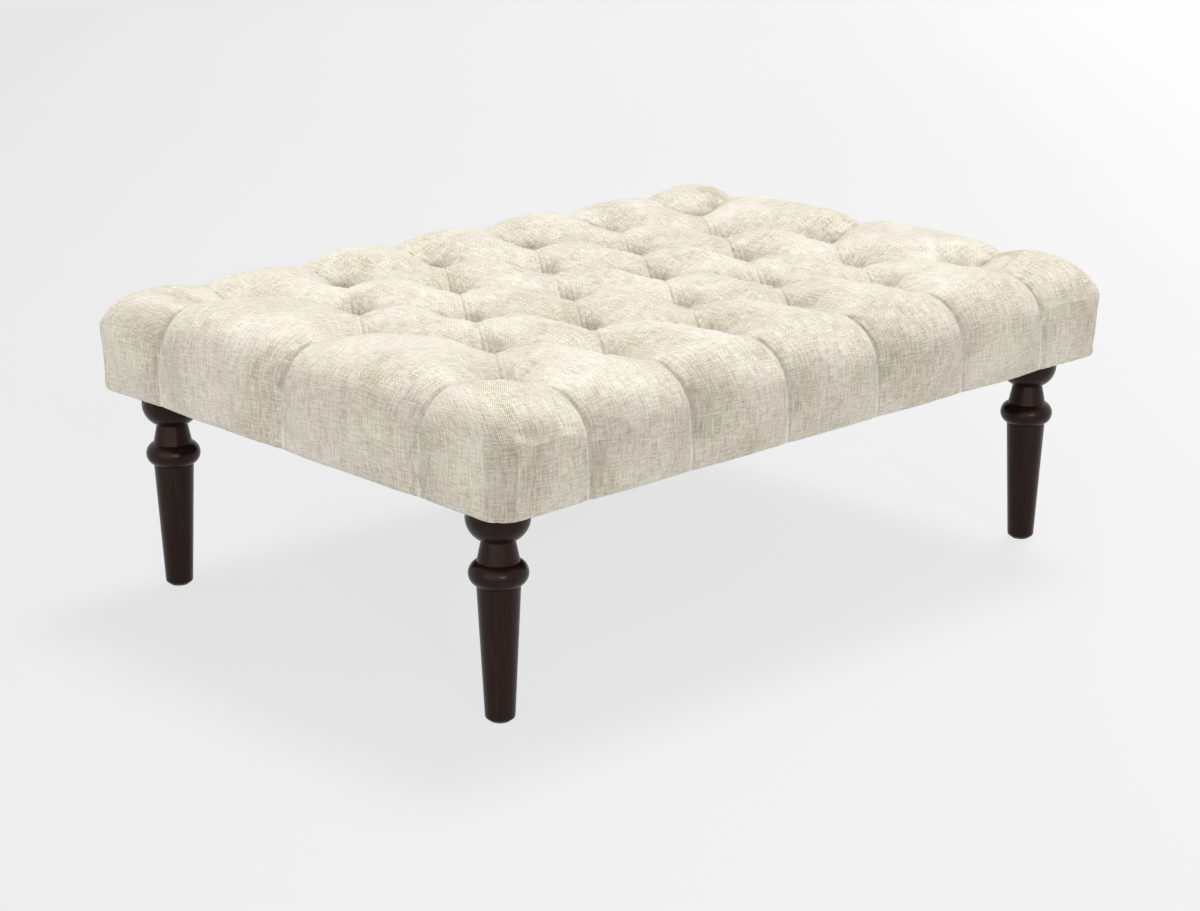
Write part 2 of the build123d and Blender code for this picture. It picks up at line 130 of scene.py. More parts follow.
# Faces across and along the patches
pleat_steps = 32
top_steps = 30
side_steps = shoulder_steps + drop_steps + hem_steps
corner_steps = 20

# Distances for the working: where points count as one, what keeps a division from zero, and a place
# that is surely inside a pillow
weld_distance = 0.02 * mm
least_distance = 1 * mm
hairline = 0.001 * mm
well_inside = 100 * mm

chance = np.random.default_rng(11)


def button_places():
    """Centres of the buttons, in five rows of six and five by turns."""
    places = []
    for row in range(-2, 3):
        count = 6 - abs(row) % 2
        for column in range(count):
            places.append(((column - (count - 1) / 2) * pitch, row * row_pitch))
    return np.array(places)


buttons = button_places()
wrinkle_turns = chance.uniform(0, 2 * math.pi, (len(buttons), len(wrinkle_counts)))
wrinkle_weights = chance.uniform(0.4, 1.2, (len(buttons), len(wrinkle_counts)))


def wobble(points, length, seed):
    """Smooth random values between about -1 and 1 over points, with waves about so long."""
    wave_count = 7
    usual_height = 3.2
    draws = np.random.default_rng(seed)
    total = np.zeros(points.shape[:-1])
    for _ in range(wave_count):
        direction = draws.normal(size=points.shape[-1])
        direction /= np.linalg.norm(direction)
        reach = length * draws.uniform(0.7, 1.5)
        total += np.sin(points @ direction * 2 * math.pi / reach + draws.uniform(0, 2 * math.pi))
    return total / usual_height


def rise(distance, reach):
    """Rise of a pillow from 0 at its pleat to 1."""
    share = np.clip(distance / reach, 0, 1)
    return 1 - (1 - share) ** 2


def smooth_step(value):
    """Smooth rise from 0 to 1."""
    value = np.clip(value, 0, 1)
    return value * value * (3 - 2 * value)


def spread(count):
    """Places from 0 to 1, closer together at both ends."""
    even = np.linspace(0, 1, count + 1)
    return 0.45 * even + 0.55 * (1 - np.cos(even * math.pi)) / 2


def pit_terms(plan):
    """Depth that the buttons add along pleats and inside pillows, and the distance to the nearest."""
    distances = np.linalg.norm(plan[..., None, :] - buttons, axis=-1)
    depths = []
    for reach in (pit_reach, core_reach):
        shares = np.clip(1 - (distances - pit_seat) / reach, 0, 1)
        depths.append((pit_depth - pleat_depth) * (shares**2).sum(axis=-1))
    return depths[0], depths[1], distances.min(axis=-1)


def wrinkles(plan):
    """Small folds that fan out from the nearest button."""
    gaps = plan[..., None, :] - buttons
    distances = np.linalg.norm(gaps, axis=-1)
    nearest = distances.argmin(axis=-1)
    distance = distances.min(axis=-1)
    gap = np.take_along_axis(gaps, nearest[..., None, None], axis=-2)[..., 0, :]
    angle = np.arctan2(gap[..., 1], gap[..., 0])
    fade = np.clip((distance - pit_seat) / wrinkle_start, 0, 1)
    fade = fade * np.clip(1 - distance / wrinkle_reach, 0, 1)
    folds = np.zeros(distance.shape)
    for order, count in enumerate(wrinkle_counts):
        turn = wrinkle_turns[nearest, order]
        swirl = wrinkle_swirl * distance / wrinkle_reach * np.sin(2 * angle + turn)
        folds += wrinkle_weights[nearest, order] * np.sin(count * angle + turn + swirl) / (1 + 0.5 * order)
    return wrinkle_depth * fade * folds


class Pleat:
    """A pleat in plan: a point on it, the way into the pillow, and whether it stays crisp."""

    def __init__(self, start, end, inside, crisp):
        self.start = np.array(start, dtype=float)
        along = np.array(end) - self.start
        normal = np.array((-along[1], along[0])) / np.linalg.norm(along)
        self.normal = normal if normal @ (np.array(inside) - self.start) > 0 else -normal
        self.crisp = crisp

    def distance(self, plan):
        return np.maximum(0, (plan - self.start) @ self.normal)


def pillow(plan, pleats, nearest):
    """Share of a pillow's full rise at points in plan."""
    share = np.ones(plan.shape[:-1])
    for pleat in pleats:
        distance = pleat.distance(plan)
        if pleat.crisp:
            share = share * rise(distance, lobe_reach) ** softness
        else:
            crisp = smooth_step(1 - (nearest - pit_seat) / crisp_reach)
            soft = smooth_step(distance / pillow_reach)
            share = share * (crisp * rise(distance, pillow_reach) ** softness + (1 - crisp) * soft)
    return share


def lean(plan, pleats, depth_share):
    """How far points near a crisp pleat lean over it."""
    shift = np.zeros(plan.shape)
    for pleat in pleats:
        if pleat.crisp:
            steps = pleat.distance(plan) / overhang_spot
            amount = overhang * steps * np.exp(1 - steps) * depth_share
            shift -= amount[..., None] * pleat.normal
    return shift


def side_profile(run):
    """Distance out from the start of a shoulder, height, normal and length, down to under the hem."""
    turns = np.linspace(0, math.pi / 2, shoulder_steps + 1)
    out = list(run * np.sin(turns))
    height = list(crown - shoulder_rise * (1 - np.cos(turns)))
    for level in np.linspace(crown - shoulder_rise, underside + hem_radius, drop_steps + 1)[1:]:
        share = min(1.0, (level - underside) / bulge_height)
        out.append(run - side_draw_in * (1 - share) ** 2)
        height.append(level)
    edge = out[-1]
    for turn in np.linspace(0, math.pi / 2, hem_steps // 2 + 1)[1:]:
        out.append(edge - hem_radius * (1 - math.cos(turn)))
        height.append(underside + hem_radius * (1 - math.sin(turn)))
    for place in np.linspace(out[-1], run - hem_inset, hem_steps // 2 + 1)[1:]:
        out.append(place)
        height.append(underside)
    curve = np.array([out, height])
    lengths = np.concatenate([[0], np.cumsum(np.linalg.norm(np.diff(curve, axis=1), axis=0))])
    tangent = np.gradient(curve, axis=1)
    tangent /= np.linalg.norm(tangent, axis=0)
    return curve[0], curve[1], np.array([-tangent[1], tangent[0]]).T, lengths


long_out, side_level, long_normal, long_length = side_profile(long_run)
short_out, side_level, short_normal, short_length = side_profile(short_run)
side_crease = np.interp(range(side_steps + 1), crease_knots, crease_shares)


class Patches:
    """Collects the grids of points that make the cover."""

    def __init__(self):
        self.points = []
        self.uvs = []
        self.folds = []
        self.faces = []
        self.count = 0

    def add(self, points, uvs, folds, flip):
        rows, columns = points.shape[:2]
        index = self.count + np.arange(rows * columns).reshape(rows, columns)
        quads = np.stack([index[:-1, :-1], index[1:, :-1], index[1:, 1:], index[:-1, 1:]], axis=-1)
        quads = quads.reshape(-1, 4)
        self.faces.append(quads[:, ::-1] if flip else quads)
        self.points.append(points.reshape(-1, 3))
        self.uvs.append(uvs.reshape(-1, 2))
        self.folds.append(folds.reshape(-1, 3))
        self.count += rows * columns


patches = Patches()


def folds_at(plan, pleats):
    """Nearness to the crisp pleats, distance to the nearest button, and distance to the soft pleats."""
    crisp = np.zeros(plan.shape[:-1])
    soft = np.full(plan.shape[:-1], well_inside)
    for pleat in pleats:
        if pleat.crisp:
            crisp = np.maximum(crisp, np.exp(-pleat.distance(plan) / fold_width))
        else:
            soft = np.minimum(soft, pleat.distance(plan))
    return np.stack([crisp, pit_terms(plan)[2], soft], axis=-1)


def away(plan, slanted, outward):
    """0 on a slanted pleat to 1 on a straight one, by the direction from the button."""
    nearest = np.maximum(pit_terms(plan)[2], least_distance)
    share = np.ones(plan.shape[:-1])
    for pleat in slanted:
        share = share * np.clip(pleat.distance(plan) / (pleat.normal @ outward * nearest), 0, 1)
    return share


def crease_at(plan, share):
    """Depth of the pleats where they are not pinched; straight ones deepen away from their button."""
    return pleat_depth + ridge * share * smooth_step((pit_terms(plan)[2] - pit_seat) / ridge_reach)


def sunk(plan, share, crease, fill, hold):
    """Depth of the cloth below its full form; hold is how much of the crown's own swell is left."""
    outer, core, nearest = pit_terms(plan)
    swell = fill - crown_drop + ripple * wobble(plan, ripple_length, 3)
    swell = share * swell * smooth_step(nearest / swell_reach)
    return (crease + outer) * (1 - share) + core * share + wrinkles(plan) - swell * hold


def top_points(plan, pleats, turned, fill):
    """Points of the flat crown, sunk into the tufting; fill is how much higher this pillow is."""
    share = pillow(plan, pleats, pit_terms(plan)[2])
    depth = sunk(plan, share, crease_at(plan, turned), fill, 1)
    return np.concatenate([plan + lean(plan, pleats, turned), (crown - depth)[..., None]], axis=-1)


def add_diamond(column, row):
    """A diamond between four buttons, centred at a column and a row."""
    left = np.array((column - half_pitch, row))
    right = np.array((column + half_pitch, row))
    front = np.array((column, row - row_pitch))
    rear = np.array((column, row + row_pitch))
    centre = np.array((column, row))
    edges = ((left, front), (front, right), (right, rear), (rear, left))
    pleats = [Pleat(a, b, centre, False) for a, b in edges]
    across, along = np.meshgrid(spread(pleat_steps), spread(pleat_steps), indexing="ij")
    plan = left + across[..., None] * (front - left) + along[..., None] * (rear - left)
    points = top_points(plan, pleats, 0, chance.uniform(lowest_diamond, highest_diamond) * mm)
    patches.add(points, plan, folds_at(plan, pleats), False)


def side_rows(edge, outward, pleats, turned, profile, fill, seed):
    """Points down the side below one edge of the crown."""
    out, normal = profile
    share = pillow(edge, pleats, 0)
    rows = []
    for step in range(1, side_steps + 1):
        plan = edge + outward * out[step]
        place = np.concatenate([plan, np.full((len(edge), 1), side_level[step])], axis=-1)
        hold = 1 - smooth_step(step / shoulder_steps)
        depth = sunk(plan, share, side_crease[step] * crease_at(edge, turned), fill, hold)
        depth = depth - (1 - hold) * share * side_ripple * wobble(place, side_ripple_length, seed)
        leaning = lean(edge, pleats, turned * side_crease[step])
        flat = plan + leaning - outward * (depth * normal[step, 0])[:, None]
        height = side_level[step] - depth * normal[step, 1]
        rows.append(np.concatenate([flat, height[:, None]], axis=-1))
    return np.array(rows)


def add_edge_lobe(left, inner, right, outward, fill):
    """A pillow from the pleats between three buttons out over the edge and down the side."""
    left, inner, right, outward = (np.array(value, dtype=float) for value in (left, inner, right, outward))
    on_long_side = outward[0] == 0
    reach = half_depth - long_run if on_long_side else half_length - short_run
    steps = spread(pleat_steps)
    first = left + steps[:, None] * (inner - left)
    second = inner + steps[1:, None] * (right - inner)
    start = np.concatenate([first, second])
    edge = start * np.abs(outward[::-1]) + outward * reach
    middle = (left + right) / 2 + outward * well_inside
    straight = [Pleat(place, place + outward, middle, True) for place in (left, right)]
    slanted = [Pleat(place, inner, middle, False) for place in (left, right)]
    shares = np.linspace(0, 1, top_steps + 1)
    plan = start + shares[:, None, None] * (edge - start)
    turned = away(plan, slanted, outward)
    top = top_points(plan, straight + slanted, turned, fill)
    profile = (long_out, long_normal) if on_long_side else (short_out, short_normal)
    seed = int(per_metre * abs(left[0] + 2 * left[1]))
    below = side_rows(edge, outward, straight, turned[-1], profile, fill, seed)
    lengths = long_length if on_long_side else short_length
    uvs = np.concatenate([plan, edge + lengths[1:, None, None] * outward])
    if not on_long_side:
        uvs = uvs[..., ::-1]
    folds = folds_at(plan, straight + slanted)
    folds = np.concatenate([folds, np.broadcast_to(folds[-1], (len(below), *folds[-1].shape))])
    span = right - left
    flip = span[0] * outward[1] - span[1] * outward[0] >= 0
    patches.add(np.concatenate([top, below]), uvs, folds, flip)


def corner_outline(step):
    """Outline round a corner from one straight pleat to the other, with normals and lengths."""
    reach_x = half_length - short_run + short_out[step]
    reach_y = half_depth - long_run + long_out[step]
    narrower = min(reach_x - outer_column, reach_y - outer_row)
    radius = min(corner_radius, corner_share * narrower)
    turns = np.linspace(0, math.pi / 2, corner_steps + 1)[1:-1]
    closer = spread(2 * corner_steps)[: corner_steps + 1] * 2
    first_x = outer_column + closer * (reach_x - radius - outer_column)
    last_y = outer_row + closer[::-1] * (reach_y - radius - outer_row)
    flat = np.ones(corner_steps + 1)
    x = np.concatenate([first_x, reach_x - radius * (1 - np.sin(turns)), flat * reach_x])
    y = np.concatenate([flat * reach_y, reach_y - radius * (1 - np.cos(turns)), last_y])
    normal_x = np.concatenate([0 * flat, np.sin(turns), flat])
    normal_y = np.concatenate([flat, np.cos(turns), 0 * flat])
    lengths = np.concatenate([[0], np.cumsum(np.hypot(np.diff(x), np.diff(y)))])
    return np.array([x, y]).T, np.array([normal_x, normal_y]).T, lengths


def add_corner_lobe(side_x, side_y, fill):
    """The pillow at a corner, from its button out between two straight pleats."""
    sides = np.array((side_x, side_y))
    button = sides * (outer_column, outer_row)
    edge, outward, lengths = corner_outline(0)
    inside = button + sides * well_inside
    pleats = [
        Pleat(button, button + (0, side_y), inside, True),
        Pleat(button, button + (side_x, 0), inside, True),
    ]
    shares = np.linspace(0, 1, top_steps + 1)[:, None]
    plan = button + shares[..., None] * (edge * sides - button)
    rows = [top_points(plan, pleats, 1, fill)]
    folds = [folds_at(plan, pleats)]
    drop = half_depth - long_run - outer_row
    drops = np.broadcast_to(shares * drop, (top_steps + 1, len(lengths)))
    uvs = [np.stack([shares * lengths, drops], axis=-1)]
    for step in range(1, side_steps + 1):
        outline, outward, lengths = corner_outline(step)
        share = (rise(lengths, lobe_reach) * rise(lengths[-1] - lengths, lobe_reach)) ** softness
        past_corner = (lengths - lengths[-1] / 2) / corner_fold_width
        fold = corner_fold_depth * np.exp(-(past_corner**2)) * step / side_steps
        place = np.concatenate([outline * sides, np.full((len(outline), 1), side_level[step])], axis=-1)
        hold = 1 - smooth_step(step / shoulder_steps)
        depth = sunk(outline * sides, share, side_crease[step] * crease_at(plan[-1], 1), fill, hold) + fold
        depth = depth - (1 - hold) * share * side_ripple * wobble(place, side_ripple_length, 5)
        on_long_side = outward[:, 1:] ** 2
        normal = on_long_side * long_normal[step] + (1 - on_long_side) * short_normal[step]
        leaning = lean(outline * sides, pleats, side_crease[step])
        flat = place[:, :2] + leaning - outward * sides * (depth * normal[:, 0])[:, None]
        height = side_level[step] - depth * normal[:, 1]
        rows.append(np.concatenate([flat, height[:, None]], axis=-1)[None])
        below = np.full(len(lengths), drop + long_length[step])
        uvs.append(np.stack([lengths, below], axis=-1)[None])
        folds.append(folds_at(outline * sides, pleats)[None])
    uvs = np.concatenate(uvs) + (outer_column, outer_row)
    patches.add(np.concatenate(rows), uvs, np.concatenate(folds), side_x * side_y > 0)


for row in range(-1, 2):
    count = 4 + (row == 0)
    for column in range(count):
        add_diamond((column - (count - 1) / 2) * pitch, row * row_pitch)
for side, fills in ((-1, front_fills), (1, rear_fills)):
    for column, fill in enumerate(fills):
        middle_x = (column - 2) * pitch
        add_edge_lobe(
            (middle_x - half_pitch, side * outer_row),
            (middle_x, side * row_pitch),
            (middle_x + half_pitch, side * outer_row),
            (0, side),
            fill * mm,
        )
for side in (-1, 1):
    for half in (-1, 1):
        add_edge_lobe(
            (side * outer_column, min(0, half) * outer_row),
            (side * (outer_column - half_pitch), half * row_pitch),
            (side * outer_column, max(0, half) * outer_row),
            (side, 0),
            0,
        )
    for side_y in (-1, 1):
        add_corner_lobe(side, side_y, rear_left_fill * mm if side < side_y else 0)


def make_object(name, points, faces):
    """A smooth mesh object from plain lists."""
    mesh = bpy.data.meshes.new(name)
    mesh.from_pydata(points, [], faces)
    mesh.update()
    mesh.polygons.foreach_set("use_smooth", [True] * len(mesh.polygons))
    piece = bpy.data.objects.new(name, mesh)
    bpy.context.scene.collection.objects.link(piece)
    return piece


def build_cover():
    """Welds the patches into the cover; gives it with its points and what folds_at says of them."""
    points = np.concatenate(patches.points)
    uvs = np.concatenate(patches.uvs)
    folds = np.concatenate(patches.folds)
    faces = np.concatenate(patches.faces)
    keys = np.round(points / weld_distance).astype(np.int64)
    _, first, welded = np.unique(keys, axis=0, return_index=True, return_inverse=True)
    welded = welded.reshape(-1)
    joined = welded[faces]
    kept_faces = []
    kept_uvs = []
    for corners, quad in zip(joined, faces):
        ring = []
        ring_uv = []
        for corner, source in zip(corners, quad):
            if corner not in ring:
                ring.append(int(corner))
                ring_uv.append(uvs[source])
        if len(ring) > 2:
            kept_faces.append(ring)
            kept_uvs.extend(ring_uv)
    cover = make_object("buttoned_cover", points[first].tolist(), kept_faces)
    layer = cover.data.uv_layers.new(name="cloth")
    layer.data.foreach_set("uv", np.array(kept_uvs, dtype=np.float32).ravel())
    attribute = cover.data.attributes.new("folds", "FLOAT_VECTOR", "POINT")
    attribute.data.foreach_set("vector", folds[first].astype(np.float32).ravel())
    return cover, points[first], folds[first]


def settle(piece, points, folds):
    """Lets the cloth swell and wrinkle between its pleats for some frames, and keeps the result."""
    at_button = 1 - (folds[:, 1] - pit_seat) / pinned_rim
    at_hem = 1 - (points[:, 2] - underside) / pinned_hem
    at_soft = soft_hold * np.exp(-folds[:, 2] / fold_width)
    hold = np.max([folds[:, 0], at_soft, at_button, at_hem], axis=0)
    hold = np.round(np.clip(hold, 0, 1), 1)
    group = piece.vertex_groups.new(name="held")
    for weight in np.unique(hold[hold > 0]):
        group.add(np.nonzero(hold == weight)[0].tolist(), float(weight), "REPLACE")
    modifier = piece.modifiers.new("settling", "CLOTH")
    modifier.point_cache.frame_end = settling_frames
    modifier.collision_settings.use_collision = False
    cloth = modifier.settings
    cloth.quality = 2
    cloth.mass = cloth_mass
    cloth.tension_stiffness = stretch_stiffness
    cloth.compression_stiffness = stretch_stiffness
    cloth.shear_stiffness = shear_stiffness
    cloth.bending_stiffness = bending_stiffness
    cloth.vertex_group_mass = "held"
    cloth.shrink_min = -growth
    cloth.use_pressure = True
    cloth.uniform_pressure_force = swelling
    cloth.effector_weights.gravity = 0
    stage = bpy.context.scene
    for frame_number in range(1, settling_frames + 1):
        stage.frame_set(frame_number)
    settled = piece.evaluated_get(bpy.context.evaluated_depsgraph_get()).data
    moved = np.empty(3 * len(points), dtype=np.float32)
    settled.vertices.foreach_get("co", moved)
    moves = moved.reshape(-1, 3) - points
    lengths = np.linalg.norm(moves, axis=-1, keepdims=True)
    shortened = most_settling * np.tanh(lengths / most_settling)
    moves *= shortened / np.maximum(lengths, hairline)
    piece.modifiers.remove(modifier)
    piece.vertex_groups.remove(group)
    piece.data.vertices.foreach_set("co", (points + moves).astype(np.float32).ravel())
    piece.data.update()
    stage.frame_set(1)


cover, cover_points, cover_folds = build_cover()
settle(cover, cover_points, cover_folds)


# Materials
def grey(value):
    """A colour with no hue."""
    return (value, value, value)


class Nodes:
    """A material's nodes, with short calls to add and link them."""

    def __init__(self, name):
        self.material = bpy.data.materials.new(name)
        self.material.use_nodes = True
        self.tree = self.material.node_tree
        self.shader = self.tree.nodes["Principled BSDF"]
        self.coordinates = self.tree.nodes.new("ShaderNodeTexCoord")

    def add(self, kind, inputs=None, **settings):
        """A node of a kind, with values for its inputs by name, and its own settings."""
        node = self.tree.nodes.new(kind)
        for key, value in settings.items():
            setattr(node, key, value)
        for key, value in (inputs or {}).items():
            node.inputs[key].default_value = value
        return node

    def link(self, source, target):
        self.tree.links.new(source, target)

    def feed(self, values, sockets):
        """Links or sets sockets; a value is another node's output, a colour or a number."""
        for value, socket in zip(values, sockets):
            if isinstance(value, bpy.types.NodeSocket):
                self.link(value, socket)
            elif isinstance(value, tuple):
                socket.default_value = (*value, 1)
            else:
                socket.default_value = value

    def place(self, output, scale=(1, 1, 1), turn=(0, 0, 0)):
        mapping = self.add("ShaderNodeMapping", {"Scale": scale, "Rotation": turn})
        self.link(self.coordinates.outputs[output], mapping.inputs["Vector"])
        return mapping.outputs["Vector"]

    def noise(self, vector, scale, detail=3.0, roughness=0.55, distortion=0.0):
        inputs = {"Scale": scale, "Detail": detail, "Roughness": roughness, "Distortion": distortion}
        node = self.add("ShaderNodeTexNoise", inputs)
        self.link(vector, node.inputs["Vector"])
        return node.outputs["Fac"]

    def wave(self, vector, scale, distortion=0.0, detail_scale=1.0):
        inputs = {"Scale": scale, "Distortion": distortion, "Detail Scale": detail_scale}
        node = self.add(
            "ShaderNodeTexWave", inputs, wave_type="BANDS", bands_direction="X", wave_profile="SIN"
        )
        self.link(vector, node.inputs["Vector"])
        return node.outputs["Fac"]

    def ramp(self, factor, stops):
        node = self.add("ShaderNodeValToRGB")
        elements = node.color_ramp.elements
        elements[0].position, elements[1].position = stops[0][0], stops[-1][0]
        elements[0].color = (*stops[0][1], 1)
        elements[1].color = (*stops[-1][1], 1)
        for position, colour in stops[1:-1]:
            elements.new(position).color = (*colour, 1)
        self.link(factor, node.inputs["Fac"])
        return node.outputs["Color"]

    def mix(self, factor, first, second, blend="MIX"):
        node = self.add("ShaderNodeMix", data_type="RGBA", blend_type=blend)
        self.feed((factor, first, second), (node.inputs[0], node.inputs[6], node.inputs[7]))
        return node.outputs[2]

    def sums(self, operation, first, second):
        node = self.add("ShaderNodeMath", operation=operation)
        self.feed((first, second), node.inputs)
        return node.outputs[0]

    def times(self, first, second):
        return self.sums("MULTIPLY", first, second)

    def plus(self, first, second):
        return self.sums("ADD", first, second)

    def weigh(self, shares):
        """Weighted sum of textures about their middle value."""
        middle = 0.5
        total = middle
        for source, weight in shares:
            total = self.plus(self.times(self.sums("SUBTRACT", source, middle), weight), total)
        return total

    def parts(self, name):
        """The components of a mesh attribute."""
        attribute = self.add("ShaderNodeAttribute", attribute_name=name)
        split = self.add("ShaderNodeSeparateXYZ")
        self.link(attribute.outputs["Vector"], split.inputs[0])
        return split.outputs[:3]

    def between(self, source, inputs):
        """Carries a value from one range over to another."""
        node = self.add("ShaderNodeMapRange", inputs)
        self.link(source, node.inputs["Value"])
        return node.outputs[0]

    def fall(self, distance, reach):
        """1 at no distance, down to 0 at a reach."""
        return self.between(distance, {"From Max": reach, "To Min": 1, "To Max": 0})

    def bump(self, height, strength, distance):
        node = self.add("ShaderNodeBump", {"Strength": strength, "Distance": distance})
        self.link(height, node.inputs["Height"])
        self.link(node.outputs["Normal"], self.shader.inputs["Normal"])

    def colour(self, source):
        self.link(source, self.shader.inputs["Base Color"])

    def roughness(self, source, low, high):
        self.link(self.between(source, {"To Min": low, "To Max": high}), self.shader.inputs["Roughness"])

    def shade(self, inputs):
        for key, value in inputs.items():
            self.shader.inputs[key].default_value = value


# Painted shade along the soft pleats near the buttons, along fine arcs beside them and in the funnels, and a
# painted highlight on the crisp pleat edges
arc_spacing = 6.5 * mm
arc_reach = 34 * mm
arc_button_reach = 84 * mm
pleat_shade_width = 4 * mm
pleat_shade_reach = 62 * mm
funnel_shade_reach = 46 * mm
# Painted shade tones for the soft pleats, the fine arcs and the funnels
pleat_shade_tone = (0.40, 0.37, 0.30)
wrinkle_shade_tone = (0.45, 0.42, 0.34)
funnel_shade_tone = (0.50, 0.46, 0.38)
# Painted highlight tone for the crisp pleat edges
rim_highlight_tone = (0.99, 0.97, 0.91)


def fold_tones(nodes, cloth, blotches):
    """Paints shade into the cloth in its pleats, funnels and fine arcs; gives the tone, the fine arcs and the
    crisp edges.
    """
    rim, to_button, to_pleat = nodes.parts("folds")
    # Painted shade along the soft pleats near the buttons
    pleat_shade = nodes.times(nodes.fall(to_pleat, pleat_shade_width), nodes.fall(to_button, pleat_shade_reach))
    pleat_shaded = nodes.mix(nodes.times(pleat_shade, 0.7), cloth, pleat_shade_tone)
    # Fine arcs beside the pleats: they bump the cloth and darken it with painted shade
    phase = nodes.plus(nodes.times(to_pleat, math.tau / arc_spacing), nodes.times(blotches, 3))
    fade = nodes.times(nodes.fall(to_pleat, arc_reach), nodes.fall(to_button, arc_button_reach))
    arcs = nodes.times(nodes.sums("SINE", phase, 0), fade)
    wrinkle_shaded = nodes.mix(nodes.times(arcs, 0.5), pleat_shaded, wrinkle_shade_tone)
    # Painted shade in the funnels round the buttons
    return nodes.mix(nodes.times(nodes.fall(to_button, funnel_shade_reach), 0.42), wrinkle_shaded, funnel_shade_tone), arcs, rim


# How strongly each texture of the cloth counts
streak_weight = 1.25
long_streak_weight = 1.35
fleck_weight = 1.4
blotch_weight = 0.25
patch_weight = 0.65
twill_weight = 0.35


def chenille(name, output, pleated):
    """Cream chenille in a fine twill: flecked, softly streaked both ways, and mottled."""
    nodes = Nodes(name)
    flat = nodes.place(output)
    across = nodes.noise(nodes.place(output, (55, 560, 560)), 1, 4, 0.7, 0.2)
    along = nodes.noise(nodes.place(output, (520, 42, 520)), 1, 4, 0.7, 0.2)
    flecks = nodes.noise(flat, 640, 3, 0.8)
    blotches = nodes.noise(flat, 48, 3, 0.6, 0.3)
    patchy = nodes.noise(flat, 9, 2, 0.5, 0.5)
    twill = nodes.wave(nodes.place(output, turn=(0, 0, math.radians(40))), 185, 1.2, 2.0)
    shares = (
        (across, streak_weight),
        (along, long_streak_weight),
        (flecks, fleck_weight),
        (blotches, blotch_weight),
        (patchy, patch_weight),
        (twill, twill_weight),
    )
    yarn = (
        (0.15, (0.44, 0.39, 0.30)),
        (0.42, (0.71, 0.65, 0.525)),
        (0.6, (0.87, 0.82, 0.70)),
        (0.85, (0.99, 0.97, 0.92)),
    )
    dye = ((0.36, (0.96, 0.97, 0.88)), (0.5, (1.0, 0.975, 0.94)), (0.64, (1.0, 0.94, 0.93)))
    tints = nodes.ramp(nodes.noise(flat, 16, 2, 0.5, 0.3), dye)
    tone = nodes.mix(0.5, nodes.ramp(nodes.weigh(shares), yarn), tints, "MULTIPLY")
    height = nodes.plus(nodes.times(twill, 0.5), nodes.plus(flecks, nodes.plus(across, along)))
    # Painted shade in the pleats, funnels and fine arcs; the arcs also bump the cloth
    if pleated:
        tone, arcs, rim = fold_tones(nodes, tone, blotches)
        height = nodes.sums("SUBTRACT", height, nodes.times(arcs, 1.6))
    # Painted sheen: the colour darkens where the cloth faces the camera and stays full at grazing angles
    facing = nodes.add("ShaderNodeLayerWeight", {"Blend": 0.5}).outputs["Facing"]
    painted_sheen = nodes.ramp(facing, ((0.08, (0.68, 0.68, 0.67)), (0.36, (0.96, 0.96, 0.955)), (0.75, grey(1.0))))
    tone = nodes.mix(1.0, tone, painted_sheen, "MULTIPLY")
    # Painted highlight along the crisp pleat edges, laid over the painted sheen
    if pleated:
        tone = nodes.mix(nodes.times(rim, 0.9), tone, rim_highlight_tone)
    nodes.colour(tone)
    nodes.bump(height, 0.5, 1 * mm)
    nodes.roughness(flecks, 0.78, 0.95)
    nodes.shade({"Sheen Weight": 0.9, "Sheen Roughness": 0.4, "Sheen Tint": (1.0, 0.97, 0.9, 1)})
    nodes.shade({"Specular IOR Level": 0.2})
    return nodes.material


def wood(name, dark, light, along, rings, gloss):
    """Wood with its grain along one axis."""
    nodes = Nodes(name)
    squeeze = [rings, rings, rings]
    squeeze[along] = rings * 0.035
    grain = nodes.noise(nodes.place("Object", tuple(squeeze)), 1, 5, 0.65, 0.35)
    pores = [1500, 1500, 1500]
    pores[along] = 40
    pore = nodes.noise(nodes.place("Object", tuple(pores)), 1, 2, 0.6)
    tone = nodes.ramp(grain, ((0.32, dark), (0.68, light)))
    speckle = nodes.ramp(pore, ((0.3, grey(0.55)), (0.6, grey(1.0))))
    nodes.colour(nodes.mix(0.45, tone, speckle, "MULTIPLY"))
    nodes.bump(nodes.plus(pore, nodes.times(grain, 0.5)), 0.25, 0.4 * mm)
    nodes.roughness(pore, gloss + 0.1, gloss)
    nodes.shade({"Specular IOR Level": 0.2, "Specular Tint": (1.0, 0.8, 0.72, 1)})
    return nodes.material


def plywood(name):
    """Birch plywood, with its veneers across its thickness."""
    nodes = Nodes(name)
    grain = nodes.noise(nodes.place("Object", (6, 160, 400)), 1, 4, 0.6, 0.3)
    veneers = nodes.wave(nodes.place("Object", turn=(0, math.radians(90), 0)), 110)
    face = nodes.ramp(grain, ((0.3, (0.50, 0.35, 0.20)), (0.7, (0.68, 0.52, 0.33))))
    glue_lines = nodes.ramp(veneers, ((0.2, (0.55, 0.5, 0.45)), (0.8, grey(1.0))))
    nodes.colour(nodes.mix(0.5, face, glue_lines, "MULTIPLY"))
    nodes.bump(grain, 0.3, 0.4 * mm)
    nodes.roughness(grain, 0.55, 0.75)
    return nodes.material


def fibrous(name, dark, light, scale, stretch, roughness, depth):
    """Plain fibres, cells or fine grains, as in foam, wadding, twine and moulded plastic."""
    nodes = Nodes(name)
    cells = nodes.noise(nodes.place("Object", stretch), scale, 4, 0.7, 0.2)
    broad = nodes.noise(nodes.place("Object"), 30, 2, 0.5)
    tone = nodes.ramp(cells, ((0.3, dark), (0.7, light)))
    stains = nodes.ramp(broad, ((0.3, grey(0.75)), (0.7, grey(1.0))))
    nodes.colour(nodes.mix(0.3, tone, stains, "MULTIPLY"))
    nodes.bump(cells, 0.6, depth)
    nodes.roughness(cells, roughness - 0.08, roughness)
    return nodes.material


